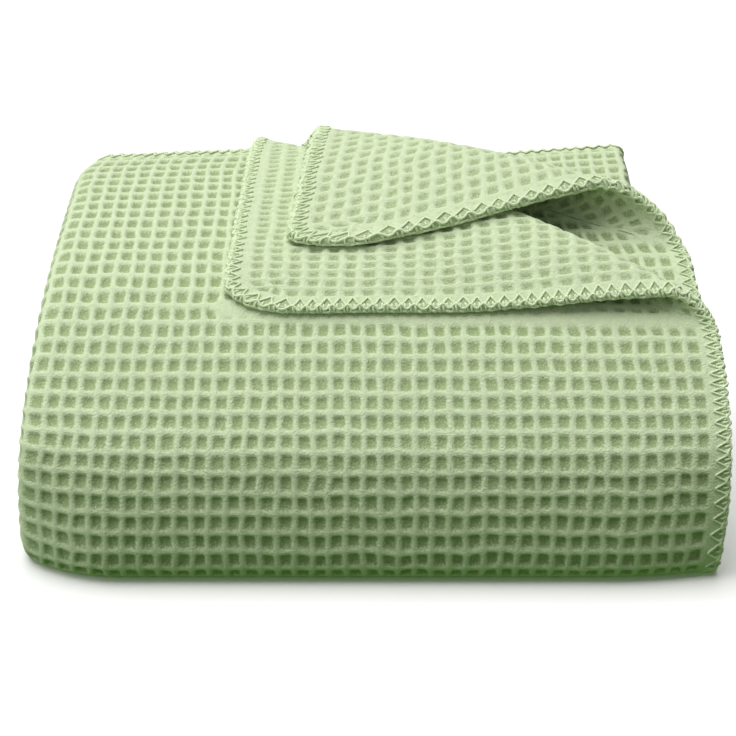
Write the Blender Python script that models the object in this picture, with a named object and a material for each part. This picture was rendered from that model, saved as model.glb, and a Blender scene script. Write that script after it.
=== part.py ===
"""A blanket of thick waffle cloth, folded into a pile that lies on a flat surface.

The blanket is one sheet. It is folded lengthwise into a strip of four layers, and the strip is folded in half
three times, so eight lengths of it lie on each other. At the right of the top length the two upper layers,
outer and inner, have their corners turned over to the front left. Metres, +Z up, +Y away from the front,
with the origin on the floor under the middle of the pile.
"""

import math
from collections import namedtuple

import bmesh
import bpy

CLOTH = 0.0045  # thickness of the brushed waffle cloth
PITCH = 0.00566  # from one layer to the next, so that the layers lie a little apart
STRIP_LAYERS = 4
LENGTHS = 8

STRIP_HALF_WIDTH = 0.2095
HEM_SET_BACK = 0.014  # the strip's right edge lies this far in, but for its outermost wrap
FOLD_SET_BACK = 0.022  # and the fold between its two hems this far
INNER_HEM_SET_BACK = 0.006  # the inner layer's hem lies this far inside the outer one's
CORNER_RADIUS = 0.030  # the blanket's own rounded corners
HEM_STEPS = (0.4 * CORNER_RADIUS, CORNER_RADIUS)  # where the mesh follows that rounding, in from a hem
SAME_PLACE = 1e-6  # two places along the strip are one if they are this near

FRONT_TURN_Y = 0.075  # centre of the four nested turns at the front
LONG_BACK_Y = 0.268  # hems of the first and last length
LOW_BACK_Y = 0.228  # centre of the two nested turns low at the back
HIGH_BACK_Y = 0.247  # centre of the single turn higher up

BUNDLE = STRIP_LAYERS * PITCH
HEIGHT = LENGTHS * BUNDLE - (PITCH - CLOTH)
FRONT_TURN_RADIUS = HEIGHT / 2

# The pile's section as it has settled, from the top of the back, over the sloping shoulder and the upright
# front, to the floor: distance from the front edge and height.
OUTLINE = (
    (0.268, 0.1806),
    (0.228, 0.1804),
    (0.187, 0.1779),
    (0.152, 0.1730),
    (0.117, 0.1648),
    (0.094, 0.1568),
    (FRONT_TURN_Y, 0.1465),
    (0.053, 0.1313),
    (0.035, 0.1159),
    (0.018, 0.0990),
    (0.003, 0.0800),
    (-0.005, 0.0570),
    (-0.008, 0.0300),
    (-0.0065, 0.0130),
    (-0.001, 0.0040),
    (0.010, 0.0),
    (FRONT_TURN_Y, 0.0),
)
SHOULDER = 6  # the row of OUTLINE above the centre of the front turns

# The lengths in their order along the strip: which place from the top each takes, where its back is, and
# which way the strip runs on it.
Length = namedtuple("Length", "place_from_top back_y runs_to")
LENGTH_ROWS = (
    Length(0, LONG_BACK_Y, "front"),
    Length(7, LOW_BACK_Y, "back"),
    Length(4, LOW_BACK_Y, "front"),
    Length(3, HIGH_BACK_Y, "back"),
    Length(2, HIGH_BACK_Y, "front"),
    Length(5, LOW_BACK_Y, "back"),
    Length(6, LOW_BACK_Y, "front"),
    Length(1, LONG_BACK_Y, "back"),
)
BACK_TURN_STEPS = 6

# How the pile narrows towards its top, and how its right back corner stands higher than its left.
LEFT_FOOT, LEFT_NARROWING = 0.2115, 0.0190
RIGHT_WIDEST, RIGHT_WIDEST_LEVEL = 0.2130, 0.47
RIGHT_NARROWING_BELOW, RIGHT_NARROWING_ABOVE = 0.018, 0.050
RIGHT_BACK_NARROWING = 0.07
BACK_NARROWS_FROM, BACK_NARROWS_TO = 0.110, 0.185
MIDDLE_BACK_RISE, RIGHT_BACK_RISE = 0.0075, 0.0220
RISE_STARTS, RISE_ENDS = 0.080, 0.262
BACK_CORNER_DRAW, BACK_CORNER_DEPTH = 0.05, 0.035

# The mesh's steps across each run and turn of the sheet in the strip, and which way each goes: -1 to the left
# or downwards, and 1 to the right or upwards. A run has its one inner line at the middle of the pile.
Across = namedtuple("Across", "steps way")
ACROSS_ROWS = (
    Across(2, -1),
    Across(5, -1),
    Across(2, 1),
    Across(3, 1),
    Across(2, -1),
    Across(3, 1),
    Across(2, 1),
)

# The two turned corners, in the plane of the top length: across the strip, and away from the end hem. The
# crease leaves the right hem at hem_x and hem_b, and meets the end hem at end_x. The blanket's corner lies at
# corner_x and corner_b once it is turned over. The cloth goes round the crease in an open loop of hem_radius at
# the one end and end_radius at the other, and settles to rest_height above its own layer.
Turn = namedtuple("Turn", "hem_x hem_b end_x corner_x corner_b hem_radius end_radius rest_height settle")
OUTER_TURN = Turn(
    hem_x=STRIP_HALF_WIDTH,
    hem_b=0.2150,
    end_x=-0.0960,
    corner_x=-0.0920,
    corner_b=0.2000,
    hem_radius=0.0100,
    end_radius=0.0050,
    rest_height=0.0080,
    settle=0.080,
)
INNER_TURN = Turn(
    hem_x=STRIP_HALF_WIDTH - INNER_HEM_SET_BACK,
    hem_b=0.1500,
    end_x=-0.0760,
    corner_x=-0.0550,
    corner_b=0.1660,
    hem_radius=0.0185,
    end_radius=0.0115,
    rest_height=0.0208,
    settle=0.090,
)
CORNER_CUTS = (2, 4, 6, 8)  # lines in the turned corners, in corner radii from the hem
LOOP_STEPS = 6
SETTLE_STEPS = 3
SLOPE_STEP = 1e-5

GREEN = (0.52, 0.66, 0.38, 1.0)


def smooth_step(value, start, end):
    t = min(max((value - start) / (end - start), 0.0), 1.0)
    return t * t * (3 - 2 * t)


def between(rows, value):
    """The second column of rows at value in the first, which may run up or down."""
    for (a, low), (b, high) in zip(rows, rows[1:]):
        if min(a, b) <= value <= max(a, b) and a != b:
            return low + (high - low) * (value - a) / (b - a)
    ends = sorted((rows[0], rows[-1]))
    return ends[0][1] if value < ends[0][0] else ends[1][1]


# Across the strip


def across_stops(set_back):
    """The runs and turns of the sheet across the strip: from the outer layer's hem on the right, round the left
    edge to the lowest layer, round the right edge, back to the left and out to the inner layer's hem."""
    left = -STRIP_HALF_WIDTH + 1.5 * PITCH + CLOTH / 2
    right = STRIP_HALF_WIDTH - FOLD_SET_BACK - 0.5 * PITCH
    return (
        ("run", STRIP_HALF_WIDTH - set_back, left, 1.5 * PITCH),
        ("turn", left, 0.0, 1.5 * PITCH),
        ("run", left, right, -1.5 * PITCH),
        ("turn", right, -PITCH, 0.5 * PITCH),
        ("run", right, left, -0.5 * PITCH),
        ("turn", left, 0.0, 0.5 * PITCH),
        ("run", left, STRIP_HALF_WIDTH - set_back - INNER_HEM_SET_BACK, 0.5 * PITCH),
    )


def across(piece, share, set_back):
    """(x, height over the strip's middle) at a share of one of the sheet's seven pieces."""
    kind, a, b, c = across_stops(set_back)[piece]
    if kind == "run":
        return a + (b - a) * share, c
    angle = math.pi * share
    if piece == 1:  # left edge, from the top down
        return a - c * math.sin(angle), b + c * math.cos(angle)
    if piece == 3:  # right edge, from the bottom up
        return a + c * math.sin(angle), b - c * math.cos(angle)
    return a - c * math.sin(angle), b - c * math.cos(angle)


def piece_lengths():
    return [
        abs(b - a) if kind == "run" else math.pi * c
        for kind, a, b, c in across_stops(0.0)
    ]


# Along the strip


Straight = namedtuple("Straight", "row z total")
Bend = namedtuple("Bend", "y z radius at_front upward total")


def length_height(row):
    return HEIGHT - (row.place_from_top + 0.5) * BUNDLE + (PITCH - CLOTH) / 2


def stretches():
    """The strip's straight lengths and turns in order, each with the distance that it covers."""
    found = []
    for row, following in zip(LENGTH_ROWS, [*LENGTH_ROWS[1:], None]):
        z = length_height(row)
        found.append(Straight(row, z, row.back_y - FRONT_TURN_Y))
        if following:
            after = length_height(following)
            at_front = row.runs_to == "front"
            y = FRONT_TURN_Y if at_front else row.back_y
            radius = abs(after - z) / 2
            found.append(Bend(y, (z + after) / 2, radius, at_front, after > z, math.pi * radius))
    return found


def along(stretch, distance, height):
    """(y, z) of a point at a distance along a stretch, at a height on the outer layer's side of its middle."""
    if isinstance(stretch, Straight):
        if stretch.row.runs_to == "front":
            return stretch.row.back_y - distance, stretch.z + height
        return FRONT_TURN_Y + distance, stretch.z - height
    angle = distance / stretch.radius
    outer_is_out = stretch.at_front != stretch.upward
    reach = stretch.radius + height if outer_is_out else stretch.radius - height
    side = -1 if stretch.at_front else 1
    rise = -1 if stretch.upward else 1
    return stretch.y + side * reach * math.sin(angle), stretch.z + rise * reach * math.cos(angle)


def nose_angle(row):
    y, z = OUTLINE[row]
    return math.degrees(math.atan2(z - OUTLINE[SHOULDER][1] / 2, FRONT_TURN_Y - y))


def along_stations():
    """The places along the strip where its mesh bends: (stretch, distance, distance from the end hem)."""
    ys = [y for y, _ in OUTLINE[: SHOULDER + 1]]
    angles = [nose_angle(i) for i in range(SHOULDER, len(OUTLINE))]
    found, start = [], 0.0
    for stretch in stretches():
        total = stretch.total
        if isinstance(stretch, Straight):
            back = stretch.row.back_y
            stops = [0.0, *(back - y for y in ys if y < back)]
            if back == LONG_BACK_Y:
                stops += HEM_STEPS
            if stretch.row.runs_to == "back":
                stops = [total - s for s in stops]
        elif stretch.at_front:
            stops = [(90 - a) / 180 * total for a in angles]
            if stretch.upward:
                stops = [total - s for s in stops]
        else:
            stops = [total * k / BACK_TURN_STEPS for k in range(BACK_TURN_STEPS + 1)]
        for stop in sorted(stops):
            if not found or start + stop - found[-1][2] > SAME_PLACE:
                found.append((stretch, stop, start + stop))
        start += total
    return found, start


# Turned corners, in the plane of the top length


def turn_frame(turn):
    """The crease's direction and length, and the direction in which the cloth goes over it."""
    dx, db = turn.end_x - turn.hem_x, -turn.hem_b
    mx, mb = turn.hem_x - turn.corner_x, -turn.corner_b
    reach, across_it = math.hypot(dx, db), math.hypot(mx, mb)
    return (dx / reach, db / reach), reach, (mx / across_it, mb / across_it)


def past_crease(turn, x, b):
    """(distance past the crease, distance along it, its loop's radius there) for a point of the flat layer."""
    (cx, cb), reach, (mx, mb) = turn_frame(turn)
    px, pb = x - turn.hem_x, b - turn.hem_b
    slant = cx * mb - cb * mx
    past = (cx * pb - cb * px) / slant
    q = (px * mb - pb * mx) / slant
    share = min(max(q / reach, 0.0), 1.0)
    return past, q, turn.hem_radius + (turn.end_radius - turn.hem_radius) * share


def drawn_out(turn):
    """How much the cloth past the crease is drawn out, so that the blanket's corner lies where it should."""
    past, _, radius = past_crease(turn, turn.hem_x, 0.0)
    lies_at, _, _ = past_crease(turn, turn.corner_x, turn.corner_b)
    return -lies_at / (past - math.pi * radius)


def turned(turn, x, b, height):
    """Where a point of the layer lies once its corner is turned over."""
    past, q, radius = past_crease(turn, x, b)
    if past <= 0:
        return x, b, height
    (cx, cb), _, (mx, mb) = turn_frame(turn)
    angle = past / radius
    if angle < math.pi:
        out, up = radius * math.sin(angle), radius * (1 - math.cos(angle))
    else:
        lying = past - math.pi * radius
        out = -lying * drawn_out(turn)
        up = 2 * radius + (turn.rest_height - 2 * radius) * smooth_step(lying, 0.0, turn.settle)
    return turn.hem_x + cx * q + mx * out, turn.hem_b + cb * q + mb * out, height + up


# The pile as it settles


def outline_at(angle):
    """The settled outline's point at an angle up from level, seen from the centre of the front turns."""
    rows = range(SHOULDER, len(OUTLINE))
    for i in list(rows)[:-1]:
        high, low = nose_angle(i), nose_angle(i + 1)
        if low <= angle <= high:
            share = (high - angle) / (high - low)
            (y0, z0), (y1, z1) = OUTLINE[i], OUTLINE[i + 1]
            return y0 + (y1 - y0) * share, z0 + (z1 - z0) * share
    return OUTLINE[SHOULDER if angle > 0 else -1]


def settled(x, y, z):
    """A point of the evenly folded pile, moved to where it lies in the settled one."""
    shoulder_z = OUTLINE[SHOULDER][1]
    if y < FRONT_TURN_Y:
        reach = math.hypot(y - FRONT_TURN_Y, z - HEIGHT / 2)
        angle = math.degrees(math.atan2(z - HEIGHT / 2, FRONT_TURN_Y - y))
        oy, oz = outline_at(angle)
        share = reach / FRONT_TURN_RADIUS
        y = FRONT_TURN_Y + (oy - FRONT_TURN_Y) * share
        z = shoulder_z / 2 + (oz - shoulder_z / 2) * share
    else:
        z *= between(OUTLINE[: SHOULDER + 1], y) / HEIGHT
    level = max(z, 0.0) / HEIGHT
    steeper = MIDDLE_BACK_RISE if x < 0 else RIGHT_BACK_RISE - MIDDLE_BACK_RISE
    rise = MIDDLE_BACK_RISE + steeper * x / STRIP_HALF_WIDTH
    z += rise * level * smooth_step(y, RISE_STARTS, RISE_ENDS)
    near_end = max((y - (LONG_BACK_Y - BACK_CORNER_DEPTH)) / BACK_CORNER_DEPTH, 0.0)
    if x < 0:
        half = LEFT_FOOT - LEFT_NARROWING * level**2
        return x * half / STRIP_HALF_WIDTH * (1 - BACK_CORNER_DRAW * near_end**2 * level), y, z
    narrowing = RIGHT_NARROWING_BELOW if level < RIGHT_WIDEST_LEVEL else RIGHT_NARROWING_ABOVE
    half = RIGHT_WIDEST - narrowing * (level - RIGHT_WIDEST_LEVEL) ** 2
    half *= 1 - RIGHT_BACK_NARROWING * smooth_step(y, BACK_NARROWS_FROM, BACK_NARROWS_TO)
    return x * half / STRIP_HALF_WIDTH, y, z


# The sheet


class Sheet:
    """The blanket laid flat: u across it from the outer layer's hem, and v along it from the end hem."""

    def __init__(self):
        self.stations, self.length = along_stations()
        self.pieces = piece_lengths()
        self.width = sum(self.pieces)
        self.last = stretches()[-1]

    def piece_at(self, u):
        for i, length in enumerate(self.pieces):
            if u <= length or i == len(self.pieces) - 1:
                return i, min(u / length, 1.0)
            u -= length

    def stretch_at(self, v):
        for stretch in stretches():
            if v <= stretch.total or stretch == self.last:
                return stretch, v
            v -= stretch.total

    def rounded(self, u, v):
        """u and v, with the sheet's square corners drawn in to round ones."""
        du = min(u, self.width - u)
        dv = min(v, self.length - v)
        a, b = CORNER_RADIUS - du, CORNER_RADIUS - dv
        if a <= 0 or b <= 0:
            return u, v
        scale = max(a, b) / math.hypot(a, b)
        du, dv = CORNER_RADIUS - a * scale, CORNER_RADIUS - b * scale
        u = du if u < self.width / 2 else self.width - du
        return u, dv if v < self.length / 2 else self.length - dv

    def in_strip(self, u, v):
        """(x, distance from the end hem, height over the strip's middle)."""
        piece, share = self.piece_at(u)
        first = LONG_BACK_Y - FRONT_TURN_Y
        wrap_ends = first + math.pi * (HEIGHT - BUNDLE) / 2
        x, height = across(piece, share, HEM_SET_BACK * smooth_step(v, wrap_ends, wrap_ends + first))
        if piece == 0:
            return turned(OUTER_TURN, x, v, height)
        if piece == len(self.pieces) - 1:
            return turned(INNER_TURN, x, v, height)
        return x, v, height

    def face_direction(self, u, v):
        """The sheet's normal in the strip, from its slope on both sides of the point."""
        d = SLOPE_STEP
        a, b = self.in_strip(max(u - d, 0.0), v), self.in_strip(min(u + d, self.width), v)
        c, e = self.in_strip(u, v - d), self.in_strip(u, v + d)
        p = [q - r for q, r in zip(b, a)]
        s = [q - r for q, r in zip(e, c)]
        n = (p[1] * s[2] - p[2] * s[1], p[2] * s[0] - p[0] * s[2], p[0] * s[1] - p[1] * s[0])
        size = math.sqrt(sum(k * k for k in n))
        return [k / size for k in n]

    def place(self, u, v, side):
        """A point on one of the sheet's two faces, as it lies in the pile."""
        u, v = self.rounded(u, v)
        n = self.face_direction(u, v)
        x, b, height = (p + side * CLOTH / 2 * k for p, k in zip(self.in_strip(u, v), n))
        stretch, distance = self.stretch_at(b)
        y, z = along(stretch, distance, height)
        return settled(x, y, z)

    def across_lines(self):
        """The places across the sheet where its mesh bends."""
        found, start = [0.0], 0.0
        for length, row, (kind, a, b, _) in zip(self.pieces, ACROSS_ROWS, across_stops(0.0)):
            if kind == "run":
                found += [start - length * a / (b - a), start + length]
            else:
                found += [start + length * (k + 1) / row.steps for k in range(row.steps)]
            start += length
        return sorted([*found, *HEM_STEPS, *(self.width - e for e in HEM_STEPS)])


def cut_line(bm, sheet, inner, point, direction):
    """Cuts the flat mesh along a line, within the corner that is turned over."""
    low = sheet.width - sheet.pieces[-1] if inner else 0.0
    high = sheet.width if inner else sheet.pieces[0]
    deep = OUTER_TURN.hem_b + CORNER_RADIUS
    faces = []
    for face in bm.faces:
        u, v, _ = face.calc_center_median()
        if low < u < high and v < deep:
            faces.append(face)
    edges = {e for f in faces for e in f.edges}
    verts = {v for f in faces for v in f.verts}
    bmesh.ops.bisect_plane(
        bm,
        geom=[*verts, *edges, *faces],
        dist=1e-5,
        plane_co=(*point, 0),
        plane_no=(-direction[1], direction[0], 0),
    )


def crease_lines(turn):
    """The straight lines along a crease where the mesh bends, as pairs of (x, distance from the end hem)."""
    _, _, (mx, mb) = turn_frame(turn)
    ends = (turn.hem_x, turn.hem_b), (turn.end_x, 0.0)
    radii = turn.hem_radius, turn.end_radius
    pasts = [[math.pi * k / LOOP_STEPS * r for r in radii] for k in range(LOOP_STEPS + 1)]
    pasts += [[math.pi * r + turn.settle * k / SETTLE_STEPS for r in radii] for k in range(1, SETTLE_STEPS + 1)]
    return [
        tuple((ex + mx * past, eb + mb * past) for (ex, eb), past in zip(ends, pair))
        for pair in pasts
    ]


def split_quads(bm, sheet):
    """Cuts each four-sided face so that the cuts in layers that lie on each other run the same way in the pile."""
    for face in list(bm.faces):
        if len(face.verts) != 4:
            continue
        u, v, _ = face.calc_center_median()
        way = ACROSS_ROWS[sheet.piece_at(u)[0]].way
        stretch, _ = sheet.stretch_at(v)
        onward = stretch.row.runs_to == "back" if isinstance(stretch, Straight) else stretch.upward
        way *= 1 if onward else -1
        a, b, c, d = face.verts
        slope = (c.co.x - a.co.x) * (c.co.y - a.co.y)
        ends = (a, c) if slope * way > 0 else (b, d)
        bmesh.utils.face_split(face, *ends)


def flat_mesh(sheet):
    """The sheet's flat mesh, with a line wherever the folded one bends."""
    bm = bmesh.new()
    rows = [
        [bm.verts.new((u, v, 0)) for u in sheet.across_lines()]
        for _, _, v in sheet.stations
    ]
    for low, high in zip(rows, rows[1:]):
        for a, b, c, d in zip(low, low[1:], high[1:], high):
            bm.faces.new((a, b, c, d))
    for inner, turn in ((False, OUTER_TURN), (True, INNER_TURN)):
        hem, way = (sheet.width, 1) if inner else (0.0, -1)
        for k in CORNER_CUTS:
            cut_line(bm, sheet, inner, (hem - way * k * CORNER_RADIUS, 0), (0, 1))
        for (x0, b0), (x1, b1) in crease_lines(turn):
            cut_line(bm, sheet, inner, (hem + way * (x0 - turn.hem_x), b0), (way * (x1 - x0), b1 - b0))
    split_quads(bm, sheet)
    bmesh.ops.triangulate(bm, faces=bm.faces[:])
    bm.verts.index_update()
    return bm


def centred(points):
    """The points moved so that the origin is under the middle of their box."""
    middle = [(min(p[k] for p in points) + max(p[k] for p in points)) / 2 for k in range(2)]
    return [(x - middle[0], y - middle[1], z) for x, y, z in points]


def blanket_mesh():
    """The folded blanket's two faces and the rim that joins them, as one closed mesh."""
    sheet = Sheet()
    flat = flat_mesh(sheet)
    count = len(flat.verts)
    points = centred([sheet.place(v.co.x, v.co.y, side) for side in (-1, 1) for v in flat.verts])
    faces = []
    for face in flat.faces:
        a, b, c = (v.index for v in face.verts)
        faces += [(a, b, c), (a + count, c + count, b + count)]
    for edge in flat.edges:
        if edge.is_boundary:
            loop = edge.link_loops[0]
            a, b = loop.vert.index, loop.link_loop_next.vert.index
            faces += [(b, a, a + count), (b, a + count, b + count)]
    flat.free()
    mesh = bpy.data.meshes.new("blanket")
    mesh.from_pydata(points, [], faces)
    mesh.update()
    mesh.validate()
    bm = bmesh.new()
    bm.from_mesh(mesh)
    bmesh.ops.recalc_face_normals(bm, faces=bm.faces[:])
    bm.to_mesh(mesh)
    bm.free()
    return mesh


def waffle_cloth():
    material = bpy.data.materials.new("waffle_cloth")
    material.use_nodes = True
    shader = material.node_tree.nodes["Principled BSDF"]
    shader.inputs["Base Color"].default_value = GREEN
    shader.inputs["Roughness"].default_value = 0.95
    shader.inputs["Metallic"].default_value = 0.0
    return material


for old in list(bpy.data.objects):
    bpy.data.objects.remove(old, do_unlink=True)
blanket = bpy.data.objects.new("blanket", blanket_mesh())
blanket.data.materials.append(waffle_cloth())
bpy.context.scene.collection.objects.link(blanket)
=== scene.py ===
"""A brushed waffle blanket, folded into a pile with two of its corners turned over, on a pale floor."""

import math
from collections import namedtuple

import bmesh
import bpy
import numpy as np
from mathutils import Matrix, Vector


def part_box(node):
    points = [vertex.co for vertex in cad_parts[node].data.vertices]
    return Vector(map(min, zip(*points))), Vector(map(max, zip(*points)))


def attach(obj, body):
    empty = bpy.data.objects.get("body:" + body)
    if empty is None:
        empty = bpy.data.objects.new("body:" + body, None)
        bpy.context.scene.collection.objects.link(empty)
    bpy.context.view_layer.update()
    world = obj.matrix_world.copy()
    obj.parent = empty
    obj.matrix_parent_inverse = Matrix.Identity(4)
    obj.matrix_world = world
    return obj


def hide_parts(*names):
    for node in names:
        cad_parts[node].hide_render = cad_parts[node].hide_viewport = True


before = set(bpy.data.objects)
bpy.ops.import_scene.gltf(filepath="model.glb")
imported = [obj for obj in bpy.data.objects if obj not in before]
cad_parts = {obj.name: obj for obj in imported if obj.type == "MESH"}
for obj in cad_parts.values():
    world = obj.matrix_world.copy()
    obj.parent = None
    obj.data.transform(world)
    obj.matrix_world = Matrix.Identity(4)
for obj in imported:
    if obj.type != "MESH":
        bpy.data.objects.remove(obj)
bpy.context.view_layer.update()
near_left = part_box("blanket")[0]

# The view: a level pile seen from the front and a little above. Sight is the distance and height of the
# pile's lower front edge from the camera, along its line of sight and across it.
PITCH_DOWN = math.radians(22.776)
FOCAL_LENGTH, SENSOR = 116.75, 36.0
SIGHT_AHEAD, SIGHT_BELOW = 1.430, 0.12757
FRONT_OVERHANG = 0.008  # how far the front bulges out past the zero of the pile's section
LEFT_OF_SIGHT = 0.2115
section_zero = Vector((near_left.x + LEFT_OF_SIGHT, near_left.y + FRONT_OVERHANG, 0))
ahead = Vector((0, math.cos(PITCH_DOWN), -math.sin(PITCH_DOWN)))
upward = Vector((0, math.sin(PITCH_DOWN), math.cos(PITCH_DOWN)))


def placed(name, data):
    """A new object in the scene, made from its data."""
    made = bpy.data.objects.new(name, data)
    bpy.context.scene.collection.objects.link(made)
    return made


camera = placed("camera", bpy.data.cameras.new("camera"))
camera.data.lens = FOCAL_LENGTH
camera.data.sensor_width = SENSOR
camera.matrix_world = Matrix.Translation(section_zero - SIGHT_AHEAD * ahead + SIGHT_BELOW * upward) @ (
    Matrix.Rotation(math.pi / 2 - PITCH_DOWN, 4, "X")
)
bpy.context.scene.camera = camera

# The floor: a plain pale studio floor, evenly lit, on which the pile throws a soft shadow. It throws no light
# back at the cloth. The green part of the glow, below, stands in for that light.
FLOOR_HALF = 30.0
FLOOR_WHITE = (0.90, 0.89, 0.89, 1)


class Shade:
    """A shader node's socket, with which a material's sums are written as Python expressions."""

    def __init__(self, tree, socket):
        self.tree, self.socket = tree, socket

    def node(self, kind, settings=None, inputs=None, out=0):
        """Adds a node: its type, its settings, then values or links for its sockets."""
        made = self.tree.nodes.new(kind)
        for name, value in (settings or {}).items():
            setattr(made, name, value)
        for name, value in (inputs or {}).items():
            if isinstance(value, Shade):
                self.tree.links.new(value.socket, made.inputs[name])
            else:
                made.inputs[name].default_value = value
        return Shade(self.tree, made.outputs[out])

    def maths(self, operation, *values):
        return self.node("ShaderNodeMath", {"operation": operation}, dict(enumerate(values)))

    def __add__(self, other):
        return self.maths("ADD", self, other)

    def __radd__(self, other):
        return self.maths("ADD", other, self)

    def __sub__(self, other):
        return self.maths("SUBTRACT", self, other)

    def __rsub__(self, other):
        return self.maths("SUBTRACT", other, self)

    def __mul__(self, other):
        return self.maths("MULTIPLY", self, other)

    def __rmul__(self, other):
        return self.maths("MULTIPLY", other, self)

    def part(self, axis):
        return self.node("ShaderNodeSeparateXYZ", {}, {0: self}, out=axis)

    def at_least(self, other):
        return self.maths("MAXIMUM", self, other)

    def fraction(self):
        return self.maths("FRACT", self)

    def size(self):
        return self.maths("ABSOLUTE", self)

    def ramped(self, low, high):
        """From 0 to 1, smoothly, as this socket goes from low to high."""
        ends = {"Value": self, "From Min": low, "From Max": high}
        return self.node("ShaderNodeMapRange", {"interpolation_type": "SMOOTHSTEP"}, ends)

    def mixed(self, low, high):
        """The colour between two others, by this socket's value."""
        return self.node("ShaderNodeMix", {"data_type": "RGBA"}, {"Factor": self, 6: low, 7: high}, out=2)


def new_material(name):
    """An empty node material, and the shade from which its nodes are made."""
    material = bpy.data.materials.new(name)
    material.use_nodes = True
    return material, Shade(material.node_tree, None)


def finish(material, inputs):
    """Gives a material's main node its values and its links from other nodes."""
    sockets = material.node_tree.nodes["Principled BSDF"].inputs
    for name, value in inputs.items():
        if isinstance(value, Shade):
            material.node_tree.links.new(value.socket, sockets[name])
        else:
            sockets[name].default_value = value


floor_mesh = bpy.data.meshes.new("floor")
floor_mesh.from_pydata(
    [(x * FLOOR_HALF, y * FLOOR_HALF, 0) for x, y in ((-1, -1), (1, -1), (1, 1), (-1, 1))], [], [(0, 1, 2, 3)]
)
floor = placed("floor", floor_mesh)
floor_paint, _ = new_material("floor_paint")
finish(floor_paint, {"Base Color": FLOOR_WHITE, "Roughness": 0.9, "Specular IOR Level": 0.0})
floor_mesh.materials.append(floor_paint)
floor.visible_diffuse = False

# The light: a broad soft light from above, a small fill lamp low at the front left, and a faint glow all
# round, which is white above and green below, as between cloth and floor.
LIGHT_STRENGTH, LIGHT_SPREAD = 3.14, math.radians(60)
LIGHT_TILT = math.radians(-3), math.radians(-12)  # to the back, and to the left
GLOW_ABOVE, GLOW_BELOW = (0.27, 0.27, 0.26, 1), (0.085, 0.20, 0.03, 1)
GLOW_BLENDS = 0.15  # how far above and below the horizon the glow's two colours run into each other
FILL_POWER, FILL_SIZE, FILL_PLACE = 1.9, 0.5, Vector((-0.90, -0.36, 0.35))
light = placed("light", bpy.data.lights.new("light", "SUN"))
light.data.energy = LIGHT_STRENGTH
light.data.angle = LIGHT_SPREAD
light.rotation_euler = (LIGHT_TILT[0], LIGHT_TILT[1], 0)
fill = placed("fill", bpy.data.lights.new("fill", "AREA"))
fill.data.energy = FILL_POWER
fill.data.size = FILL_SIZE
fill.location = FILL_PLACE
fill.rotation_euler = (-FILL_PLACE).to_track_quat("-Z", "Y").to_euler()
fill.visible_camera = False
world = bpy.data.worlds.new("glow")
world.use_nodes = True
sky = Shade(world.node_tree, None)
height_of_sky = sky.node("ShaderNodeTexCoord").part(2)
blend = {"Value": height_of_sky, "From Min": -GLOW_BLENDS, "From Max": GLOW_BLENDS}
glow = sky.node("ShaderNodeMapRange", {}, blend).mixed(GLOW_BELOW, GLOW_ABOVE)
world.node_tree.links.new(glow.socket, world.node_tree.nodes["Background"].inputs["Color"])
bpy.context.scene.world = world
bpy.context.scene.view_settings.view_transform = "Standard"

# The blanket's outer layer. The blanket is one sheet of brushed waffle cloth, folded lengthwise into a strip
# of four layers, and the strip in eight lengths. This layer wraps the pile's top, front and underside, and
# its end corner is turned over to the front left.
CLOTH = 0.0045
PITCH = 0.00566
STRIP_LAYERS, LENGTHS = 4, 8
STRIP_HALF_WIDTH = 0.2095
HEM_SET_BACK, FOLD_SET_BACK, INNER_HEM_SET_BACK = 0.014, 0.022, 0.006
CORNER_RADIUS = 0.030
FRONT_TURN_Y, LONG_BACK_Y, LOW_BACK_Y, HIGH_BACK_Y = 0.075, 0.268, 0.228, 0.247
BUNDLE = STRIP_LAYERS * PITCH
HEIGHT = LENGTHS * BUNDLE - (PITCH - CLOTH)
FRONT_TURN_RADIUS = HEIGHT / 2

Length = namedtuple("Length", "place_from_top back_y runs_to")
LENGTH_ROWS = (
    Length(0, LONG_BACK_Y, "front"),
    Length(7, LOW_BACK_Y, "back"),
    Length(4, LOW_BACK_Y, "front"),
    Length(3, HIGH_BACK_Y, "back"),
    Length(2, HIGH_BACK_Y, "front"),
    Length(5, LOW_BACK_Y, "back"),
    Length(6, LOW_BACK_Y, "front"),
    Length(1, LONG_BACK_Y, "back"),
)
Turn = namedtuple("Turn", "hem_x hem_b end_x corner_x corner_b hem_radius end_radius rest_height settle")
OUTER_TURN = Turn(
    hem_x=STRIP_HALF_WIDTH,
    hem_b=0.2150,
    end_x=-0.0960,
    corner_x=-0.0920,
    corner_b=0.2000,
    hem_radius=0.0100,
    end_radius=0.0050,
    rest_height=0.0080,
    settle=0.080,
)
INNER_TURN = Turn(
    hem_x=STRIP_HALF_WIDTH - INNER_HEM_SET_BACK,
    hem_b=0.1500,
    end_x=-0.0760,
    corner_x=-0.0550,
    corner_b=0.1660,
    hem_radius=0.0185,
    end_radius=0.0115,
    rest_height=0.0208,
    settle=0.090,
)

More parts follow.
